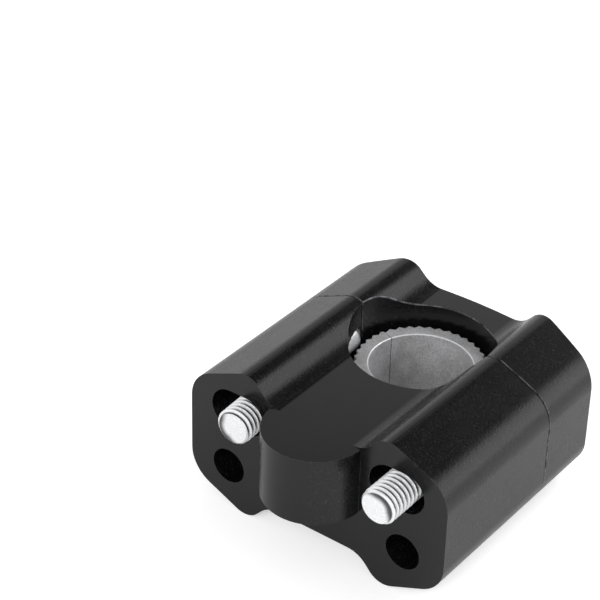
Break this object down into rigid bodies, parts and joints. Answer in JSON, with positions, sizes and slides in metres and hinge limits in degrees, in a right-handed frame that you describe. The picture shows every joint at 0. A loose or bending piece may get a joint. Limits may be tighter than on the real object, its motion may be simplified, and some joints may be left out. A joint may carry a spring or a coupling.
{
  "type": "motorcycle bar riser",
  "caption": "Handlebar riser block with a half-round stub for the old clamp, a bolted cap and a serrated two-piece reducing sleeve for the bar.",
  "frame": {"origin": "centre of the new bar bore, on its axis at mid height", "axes": "+Z along the bar's axis, +Y from the half-round stub towards the cap, X along the line of the bolts"},
  "size_m": [0.064, 0.0694, 0.0356],
  "materials": {
    "black_anodised": "matte black anodised, fine blasted grain on the lobes, machined flats",
    "bare_aluminium": "raw turned aluminium, slightly dull",
    "zinc_plated_steel": "bright zinc plate"
  },
  "bodies": {
    "block": {"riser_body": "black_anodised", "sleeve_front_half": "bare_aluminium"},
    "cap": {"clamp_cap": "black_anodised", "sleeve_rear_half": "bare_aluminium"},
    "bolt_left": {"mount_bolt_left": "zinc_plated_steel"},
    "bolt_right": {"mount_bolt_right": "zinc_plated_steel"},
    "screw_left": {"cap_screw_left": "zinc_plated_steel"},
    "screw_right": {"cap_screw_right": "zinc_plated_steel"}
  },
  "joints": [
    {"name": "cap_slide", "type": "slide", "parent": "block", "child": "cap", "axis": [0, 1, 0], "range_m": [-0.00015, 0.018]},
    {"name": "screw_turn_left", "type": "hinge", "parent": "cap", "child": "screw_left", "pos_m": [-0.0221, 0.0116, -0.0072], "axis": [0, 1, 0], "range_deg": [-90, 5190]},
    {"name": "screw_turn_right", "type": "hinge", "parent": "cap", "child": "screw_right", "pos_m": [0.0221, 0.0116, -0.0072], "axis": [0, 1, 0], "range_deg": [-90, 5190]},
    {"name": "bolt_turn_left", "type": "hinge", "parent": "cap", "child": "bolt_left", "pos_m": [-0.0202, 0.0058, 0.0074], "axis": [-0.0588, 0.9983, 0], "continuous": true},
    {"name": "bolt_turn_right", "type": "hinge", "parent": "cap", "child": "bolt_right", "pos_m": [0.0202, 0.0116, 0.0074], "axis": [0, 1, 0], "continuous": true}
  ],
  "couplings": [
    {"joint": "screw_turn_left", "follows": "cap_slide", "rad_per_m": 5026.5},
    {"joint": "screw_turn_right", "follows": "cap_slide", "rad_per_m": 5026.5}
  ]
}
